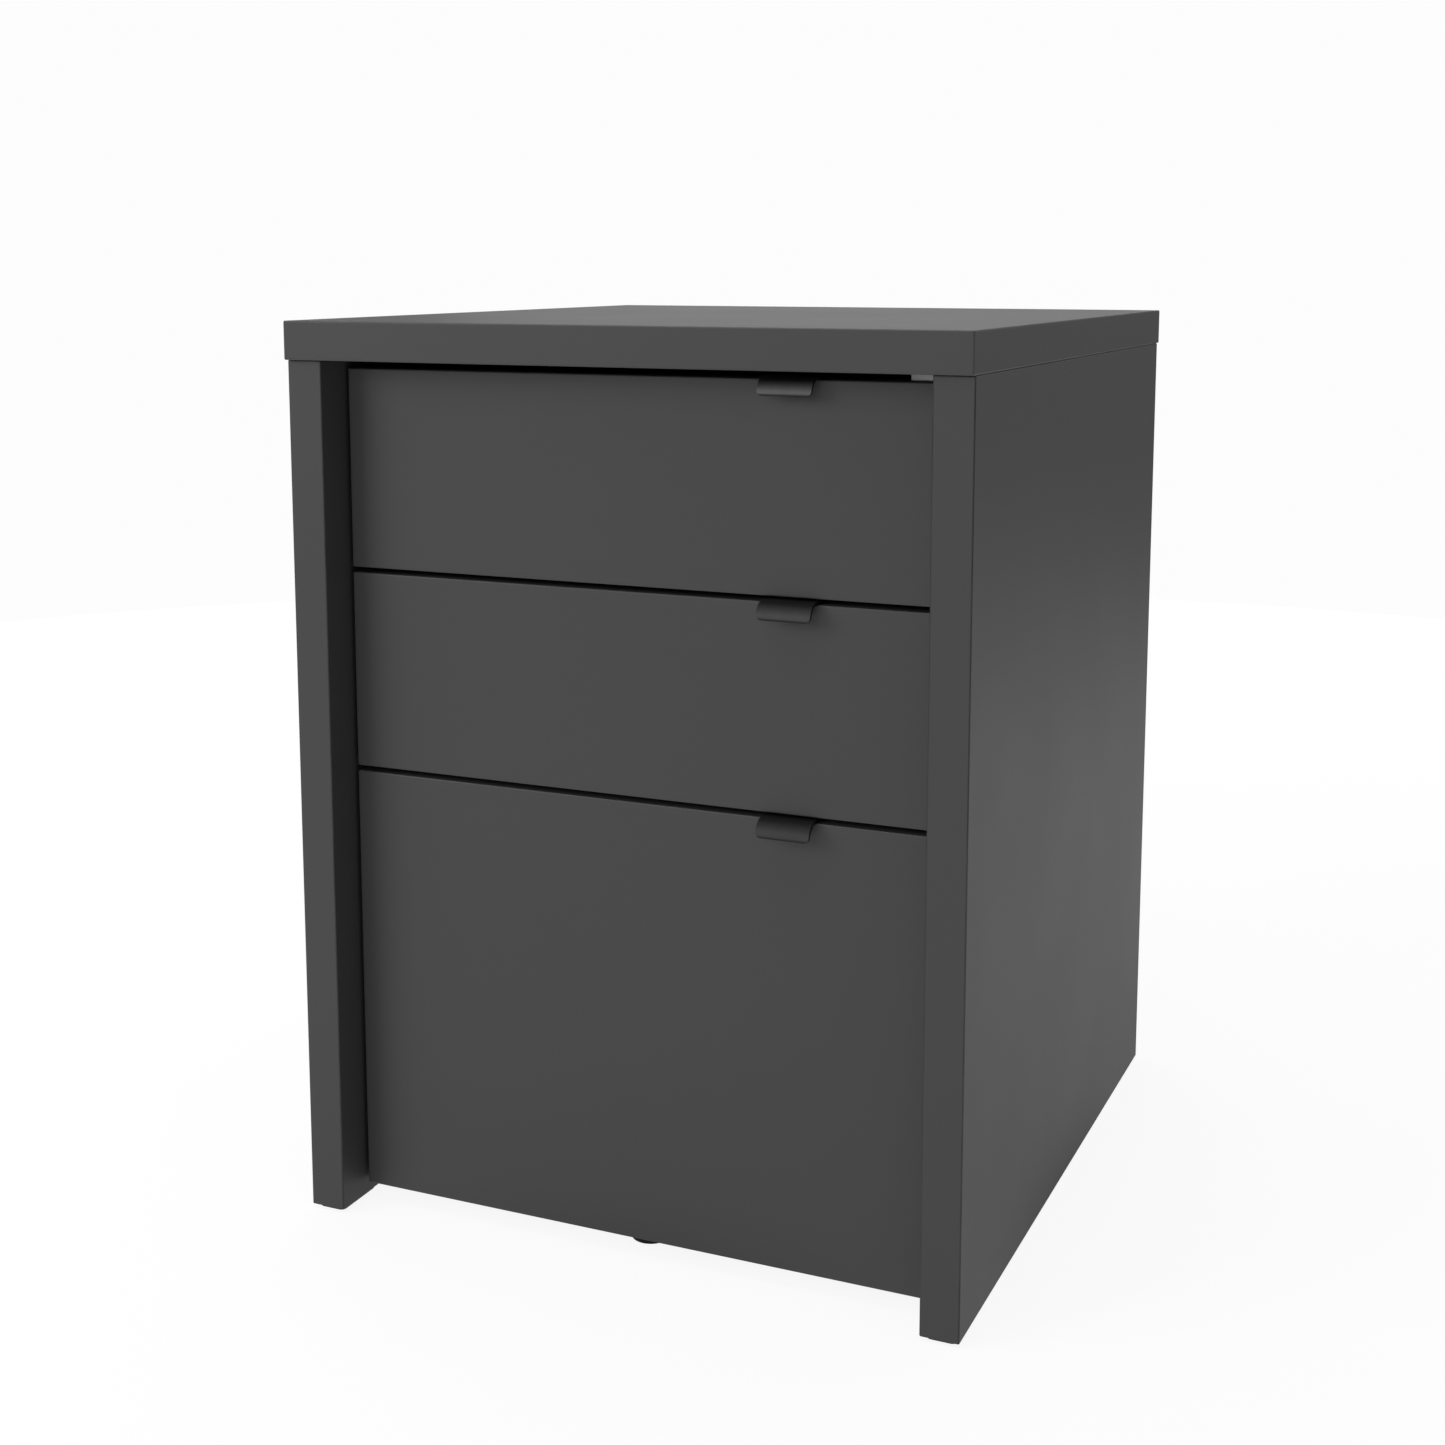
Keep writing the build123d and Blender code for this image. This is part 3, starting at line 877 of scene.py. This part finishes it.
@dataclass
class TabHandle:
    """A tab of bent sheet, hooked over a drawer front's top edge.

    Headings are in degrees, from 90 up the leg over 180 along the flange to 270 down the
    lip. The bends are radii of the sheet's middle line, and the crowding says how far the
    stations gather at its ends.
    """

    place: Place
    sheet: float = 2.0 * MM
    drop: float = 11.5 * MM
    front_bend: float = 10.0 * MM
    rear_bend: float = 1.4 * MM
    corner: float = 3.5 * MM
    arris: float = 0.5 * MM
    edge_band: float = 1.8 * MM
    lip_light_from: float = 208.0
    lip_light_to: float = 268.0
    stations: int = 150
    crowding: float = 0.65
    fine_steps: int = 6000

    def centreline(self) -> tuple[np.ndarray, ...]:
        """The sheet's middle line, from the leg's foot over the flange to the lip's edge.

        The heading turns at a constant rate through each bend and is constant between, and
        the line is the running sum of unit steps along the heading.

        Returns:
            Length along the line, Y, Z, and the heading, at each station.
        """
        low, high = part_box(f"{self.place.value}_drawer_handle")
        half = self.sheet / 2
        leg = (high.z - half) - low.z - self.rear_bend
        flange = (high.y - half) - (low.y + half) - self.rear_bend - self.front_bend
        lip = self.drop - half - self.front_bend
        turns = np.array([self.rear_bend, self.front_bend]) * math.pi / 2
        knots = np.cumsum([0.0, leg, turns[0], flange, turns[1], lip])
        headings = np.array([90.0, 90.0, 180.0, 180.0, 270.0, 270.0])

        even = np.linspace(0.0, 1.0, self.stations)
        eased = 0.5 - 0.5 * np.cos(even * math.pi)
        length = knots[-1] * ((1 - self.crowding) * even + self.crowding * eased)
        fine = np.linspace(0.0, knots[-1], self.fine_steps + 1)
        heading = np.radians(np.interp(fine, knots, headings))
        middle = (heading[1:] + heading[:-1]) / 2
        step = np.diff(fine)
        y = high.y - half + np.concatenate([[0.0], np.cumsum(np.cos(middle) * step)])
        z = low.z + np.concatenate([[0.0], np.cumsum(np.sin(middle) * step)])
        return (
            length,
            np.interp(length, fine, y),
            np.interp(length, fine, z),
            np.interp(length, fine, heading),
        )

    def build(self) -> bpy.types.Object:
        """Carries the sheet's section along its middle line.

        Both ends draw in by a quarter round: the width for the corners, the thickness for the rounded
        edge. Two marks go with the mesh, both painted light and shade. The lip light one rises in a smooth
        step while the sheet turns down into the lip: a painted highlight on the front-facing lip, against
        the up-facing flange left dark as painted shade. The shade edge one is 1 on the sheet's narrow
        faces and at its ends, and falls to 0 across their rounding: painted shade.

        Returns:
            The handle.
        """
        low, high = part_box(f"{self.place.value}_drawer_handle")
        length, y, z, heading = self.centreline()
        to_end = np.minimum(length, length[-1] - length)
        half_wide = (high.x - low.x) / 2 - tapered_end(to_end, self.corner)
        half_thick = self.sheet / 2 - tapered_end(to_end, self.arris)
        across, through, cosine, sine = rounded_section(half_wide, half_thick, self.arris)

        tangent = np.stack([np.zeros_like(y), np.cos(heading), np.sin(heading)], axis=-1)
        outward = np.stack([np.zeros_like(y), np.sin(heading), -np.cos(heading)], axis=-1)
        sideways = np.array([1.0, 0.0, 0.0])
        spine = np.stack([np.full_like(y, (low.x + high.x) / 2), y, z], axis=-1)
        rings = spine[:, None] + across[..., None] * sideways + through[..., None] * outward[:, None]

        wide_slope = np.gradient(half_wide, length)[:, None, None] * np.abs(cosine)[..., None]
        normals = cosine[..., None] * sideways + sine[..., None] * outward[:, None]
        normals = normals - wide_slope * tangent[:, None]
        tips = spine[[0, -1]]

        # painted light: the lip is made paler as the sheet turns down to face the front, and the up-facing
        # flange stays dark as painted shade
        turned = (np.degrees(heading) - self.lip_light_from) / (self.lip_light_to - self.lip_light_from)
        turned = np.clip(turned, 0.0, 1.0)
        painted_lip_light = np.broadcast_to((turned**2 * (3 - 2 * turned))[:, None], cosine.shape)
        # painted shade on the narrow faces and both ends, standing in for their shadowed edges
        end_band = np.clip((self.edge_band - to_end) / (self.edge_band - self.arris), 0.0, 1.0)
        painted_shade_edge = np.maximum(np.abs(cosine) ** 2, end_band[:, None])
        piece = shells(
            f"{self.place.value}_tab_handle",
            rings[None],
            tips[None],
            normals[None],
            {"painted_lip_light": painted_lip_light[None], "painted_shade_edge": painted_shade_edge[None]},
        )
        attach(piece, f"{self.place.value}_drawer")
        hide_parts(f"{self.place.value}_drawer_handle")
        return piece


@dataclass
class Runner:
    """The balls and cages between the three rails of one ball-bearing runner.

    The flange is the rails' sheet, and the slack is left between a ball and each of its rails.
    """

    place: Place
    side: Side
    flange: float = 1.2 * MM
    slack: float = 0.06 * MM
    pitch: float = 8.0 * MM
    inset: float = 8.0 * MM
    rings: int = 7
    points: int = 12
    cage_sheet: float = 0.5 * MM
    cage_margin: float = 1.6 * MM
    cage_corner: float = 1.5 * MM
    cage_arris: float = 0.15 * MM
    stations: int = 24

    @property
    def rails(self) -> dict[str, str]:
        """The names of the runner's three rails in the model."""
        stem, side = self.place.value, self.side.word
        return {
            "carcass": f"{stem}_{side}_carcass_rail",
            "middle": f"{stem}_{side}_middle_rail",
            "drawer": f"{stem}_drawer_{side}_rail",
        }

    def tracks(self) -> list[tuple[float, float, float, float, float]]:
        """The four ball tracks.

        The outer pair lies between the carcass rail and the middle rail, in the middle
        rail's rear half, and the inner pair between the middle rail and the drawer's rail,
        in its front half, so that each stays covered by both of its rails at any opening.

        Returns:
            x, z, the ball's radius, and the first and last y of each track.
        """
        carcass, middle, drawer = (BoardBox.of(node) for node in self.rails.values())
        centre = (middle.low[2] + middle.high[2]) / 2
        x = (middle.low[0] + middle.high[0]) / 2
        half_way = (middle.low[1] + middle.high[1]) / 2
        found = []
        for outer, inner, front, rear in (
            (carcass, middle, half_way, middle.high[1]),
            (middle, drawer, middle.low[1], half_way),
        ):
            roof, floor = outer.sizes[2] / 2 - self.flange, inner.sizes[2] / 2
            first, last = front + self.inset, rear - self.inset
            radius = (roof - floor) / 2 - self.slack
            for up in (-1, 1):
                found.append((x, centre + up * (roof + floor) / 2, radius, first, last))
        return found

    def balls(self) -> bpy.types.Object:
        """Spheres in a row along each track.

        Ring i of a ball lies at latitude -90 + 180 (i + 1) / (rings + 1) degrees.

        Returns:
            All the runner's balls, as one piece.
        """
        latitude = np.radians(-90 + 180 * (np.arange(self.rings) + 1) / (self.rings + 1))
        longitude = np.linspace(0.0, 2 * math.pi, self.points, endpoint=False)
        unit = np.stack(
            [
                np.cos(latitude)[:, None] * np.cos(longitude),
                np.cos(latitude)[:, None] * np.sin(longitude),
                np.broadcast_to(np.sin(latitude)[:, None], (self.rings, self.points)),
            ],
            axis=-1,
        )
        centres, radii = [], []
        for x, z, radius, first, last in self.tracks():
            y = np.arange(first + self.pitch, last - self.pitch / 2, self.pitch)
            centres.append(np.stack([np.full_like(y, x), y, np.full_like(y, z)], axis=-1))
            radii.append(np.full_like(y, radius))
        centre, radius = np.concatenate(centres), np.concatenate(radii)[:, None]
        rings = centre[:, None, None] + radius[:, :, None, None] * unit
        poles = np.array([[0.0, 0.0, -1.0], [0.0, 0.0, 1.0]])
        tips = centre[:, None] + radius[:, :, None] * poles
        name = f"{self.place.value}_{self.side.word}_runner_balls"
        return self.fit(shells(name, rings, tips))

    def cages(self) -> bpy.types.Object:
        """A flat strip along each track that spaces its balls.

        The strip's section is carried along Y, at stations that crowd at both ends.

        Returns:
            All the runner's cages, as one piece.
        """
        even = np.linspace(0.0, math.pi, self.stations)
        made, ends = [], []
        for x, z, radius, first, last in self.tracks():
            y = first + (last - first) * (0.5 - 0.5 * np.cos(even))
            to_end = np.minimum(y - first, last - y)
            wide = radius + self.cage_margin - tapered_end(to_end, self.cage_corner)
            thick = np.full_like(y, self.cage_sheet / 2)
            across, through, _, _ = rounded_section(wide, thick, self.cage_arris, 2)
            along = np.broadcast_to(y[:, None], across.shape)
            rings = np.stack([x + across, along, z + through], axis=-1)
            made.append(rings)
            ends.append(rings[[0, -1]].mean(axis=1))
        name = f"{self.place.value}_{self.side.word}_runner_cages"
        return self.fit(shells(name, np.stack(made), np.stack(ends)))

    def fit(self, piece: bpy.types.Object) -> bpy.types.Object:
        """Lets a piece travel with the middle rails.

        Args:
            piece: the balls or the cages.

        Returns:
            The same piece.
        """
        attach(piece, f"{self.place.value}_middle_rails")
        return piece


@dataclass
class Drawer:
    """One drawer: its front, birch box, handle, and the rails that carry it."""

    place: Place
    laminate: MattLaminate = MattLaminate()
    ply: BirchPly = BirchPly()
    floor_ply: BirchPly = BirchPly(ply=1.25 * MM)

    def dress(self, shop: Shop) -> list[bpy.types.Object]:
        """Finishes every node of the drawer and adds its fine pieces.

        Args:
            shop: the finishes that several pieces share.

        Returns:
            Every piece that got a finish.
        """
        stem = f"{self.place.value}_drawer_"
        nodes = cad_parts
        front = self.laminate.material(stem + "laminate", BoardBox.of(stem + "front"))
        pairs = [(nodes[stem + "front"], front), (nodes[stem + "dowels"], shop.beech)]
        for part, grain, finish in (
            ("left_side", Axis.Y, self.ply),
            ("right_side", Axis.Y, self.ply),
            ("back", Axis.X, self.ply),
            ("floor", Axis.X, self.floor_ply),
        ):
            birch = finish.material(stem + part + "_birch", BoardBox.of(stem + part), grain)
            pairs.append((nodes[stem + part], birch))
        pairs += [(nodes[stem + part], shop.screw) for part in ("handle_screws", "rail_screws")]
        # each drawer's lip gets its own amount of painted light
        coat = PowderCoat(painted_lip_light=LIP_LIGHT[self.place]).material(stem + "coat")
        pairs.append((TabHandle(self.place).build(), coat))
        for side in Side:
            runner = Runner(self.place, side)
            pairs += [(nodes[rail], shop.rail) for rail in runner.rails.values()]
            pairs += [(runner.balls(), shop.ball), (runner.cages(), shop.cage)]
        for piece, material in pairs:
            cover(piece, material)
        return [piece for piece, _ in pairs]


@dataclass
class Carcass:
    """The boards that stand on the floor, with their brackets, fixings and feet."""

    laminate: MattLaminate = MattLaminate()
    # the side panels' arrises are painted darker, not paler
    darkened_arris: MattLaminate = MattLaminate(arris=0.1, arris_reach=1.4 * MM)
    boards: tuple[str, ...] = ("top_panel", "bottom_panel", "back_panel")
    sides: tuple[str, ...] = ("left_side_panel", "right_side_panel")

    def dress(self, shop: Shop) -> list[bpy.types.Object]:
        """Finishes every node of the carcass.

        Args:
            shop: the finishes that several pieces share.

        Returns:
            Every piece that got a finish.
        """
        pairs = [
            ("corner_brackets", shop.bracket),
            ("bracket_screws", shop.screw),
            ("cam_bolts", shop.screw),
            ("cam_locks", shop.cast),
            ("back_screws", shop.screw),
            ("carcass_rail_screws", shop.screw),
            ("carcass_dowels", shop.beech),
            ("side_glides", shop.plastic),
            ("centre_foot", shop.plastic),
        ]
        for finish, boards in ((self.laminate, self.boards), (self.darkened_arris, self.sides)):
            for board in boards:
                pairs.append((board, finish.material(board + "_laminate", BoardBox.of(board))))
        for part, material in pairs:
            cover(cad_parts[part], material)
        return [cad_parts[part] for part, _ in pairs]


class Shop:
    """The finishes that several pieces share, each made once."""

    def __init__(self) -> None:
        """Makes every shared finish."""
        self.beech = BeechDowel().material("beech_dowel")
        self.rail = ZincPlate().material("zinc_rail")
        self.bracket = ZincPlate(level=0.66, roughness=0.34, along=Axis.X).material("zinc_bracket")
        self.screw = ZincPlate(level=0.55, roughness=0.26, along=Axis.Z).material("zinc_screw")
        self.cast = ZincPlate(level=0.48, roughness=0.48, along=Axis.Z).material("cast_zinc")
        self.ball = ZincPlate(level=0.72, roughness=0.14).material("steel_ball")
        self.cage = ZincPlate(level=0.5, roughness=0.42).material("cage_strip")
        self.plastic = MouldedPlastic().material("black_plastic")


def report(piece: bpy.types.Object) -> None:
    """Logs a finished piece with its size in millimetres.

    Args:
        piece: the piece, with its finish on.
    """
    sizes = " x ".join(f"{side / MM:.1f}" for side in piece.dimensions)
    log.info("%s: %s mm, %d faces", piece.name, sizes, len(piece.data.polygons))


# ---------------------------------------------------------------- studio


@dataclass
class SoftLight:
    """A rectangular soft light aimed at the cabinet."""

    name: str
    place: tuple[float, float, float]
    size: tuple[float, float]
    power: float
    aim: tuple[float, float, float] = (0.0, 0.0, 0.3)

    def build(self) -> None:
        """Hangs the light and turns it to its aim."""
        data = bpy.data.lights.new(self.name, "AREA")
        data.shape = "RECTANGLE"
        data.size, data.size_y = self.size
        data.energy = self.power
        lamp = bpy.data.objects.new(self.name, data)
        away = np.subtract(self.aim, self.place)
        flat = math.hypot(away[0], away[1])
        lamp.location = self.place
        lamp.visible_camera = False
        lamp.rotation_euler = (math.atan2(flat, -away[2]), 0.0, math.atan2(-away[0], away[1]))
        bpy.context.scene.collection.objects.link(lamp)


@dataclass
class Studio:
    """A lit table in a white room, dim apart from its soft lights."""

    reach: float = 2.5
    thick: float = 5.0 * MM
    points: int = 96
    ambient: float = 0.15
    backdrop: float = 0.98
    lights: tuple[SoftLight, ...] = (
        SoftLight("overhead", (-0.2, -0.1, 2.6), (2.4, 2.4), 34.0),
        SoftLight("front", (0.0, -3.2, 1.3), (1.6, 1.6), 15.0),
        SoftLight("front_left", (-2.0, -2.2, 1.6), (1.6, 1.6), 34.5),
        SoftLight("back_left", (-2.8, 2.0, 1.3), (2.0, 2.0), 7.5, (0.0, 0.0, 0.5)),
        SoftLight("back", (-0.95, 3.0, 1.3), (2.0, 2.0), 12.5, (0.0, 0.0, 0.5)),
        SoftLight("back_right", (2.0, 2.4, 1.4), (1.6, 1.6), 9.5),
    )

    def floor(self) -> bpy.types.Object:
        """Lays a round table top: rings of points at growing radii, and one more below the rim.

        Point j of ring i is at radius r_i and angle 2 pi j / points.

        Returns:
            The table top.
        """
        turn = np.linspace(0.0, 2 * math.pi, self.points, endpoint=False)
        radius = np.array([0.1, 0.4, 0.7, 1.0, 1.0]) * self.reach
        height = np.array([0.0, 0.0, 0.0, 0.0, -self.thick])
        rings = np.stack(
            [
                radius[:, None] * np.cos(turn),
                radius[:, None] * np.sin(turn),
                np.broadcast_to(height[:, None], (len(radius), len(turn))),
            ],
            axis=-1,
        )
        tips = np.array([[[0.0, 0.0, 0.0], [0.0, 0.0, -self.thick]]])
        floor = shells("studio_floor", rings[None], tips)
        floor.data.polygons.foreach_set("use_smooth", np.zeros(len(floor.data.polygons), bool))
        cover(floor, LitTable().material("lit_table", self.reach))
        return floor

    def room(self) -> None:
        """Fills the surroundings: white where the camera sees them, dim where they light."""
        world = bpy.data.worlds.new("room")
        world.use_nodes = True
        tree = world.node_tree
        seen = tree.nodes.new("ShaderNodeLightPath").outputs["Is Camera Ray"]
        level = tree.nodes.new("ShaderNodeMapRange")
        level.inputs["To Min"].default_value = self.ambient
        level.inputs["To Max"].default_value = self.backdrop
        tree.links.new(seen, level.inputs["Value"])
        ground = tree.nodes["Background"]
        ground.inputs["Color"].default_value = grey(1.0)
        tree.links.new(level.outputs["Result"], ground.inputs["Strength"])
        bpy.context.scene.world = world

    def build(self) -> None:
        """Lays the floor, hangs the lights, and keeps colours as they are."""
        self.floor()
        for light in self.lights:
            light.build()
        self.room()
        bpy.context.scene.view_settings.view_transform = "Standard"


@dataclass
class Standpoint:
    """Where the camera stands and how it looks: right of the cabinet and above it.

    The turn and the tilt are in radians, and the lens and the sensor in millimetres.
    """

    place: tuple[float, float, float] = (0.5507, -1.3304, 0.6384)
    turn: float = 0.41182
    tilt: float = 0.14124
    lens: float = 50.697
    sensor: float = 36.0
    rise: float = -0.12
    far: float = 200.0

    def build(self) -> None:
        """Sets up the camera and makes it the scene's."""
        data = bpy.data.cameras.new("camera")
        data.lens = self.lens
        data.sensor_width = self.sensor
        data.shift_y = self.rise
        data.clip_end = self.far
        camera = bpy.data.objects.new("camera", data)
        camera.location = self.place
        camera.rotation_euler = (math.pi / 2 - self.tilt, 0.0, self.turn)
        bpy.context.scene.collection.objects.link(camera)
        bpy.context.scene.camera = camera


def main() -> None:
    """Dresses the carcass, then the drawers, then sets up the studio and the camera."""
    logging.basicConfig(level=logging.INFO, format="%(message)s")
    shop = Shop()
    for assembly in (Carcass(), *(Drawer(place) for place in Place)):
        for piece in assembly.dress(shop):
            report(piece)
    Studio().build()
    Standpoint().build()


if __name__ == "__main__":
    main()
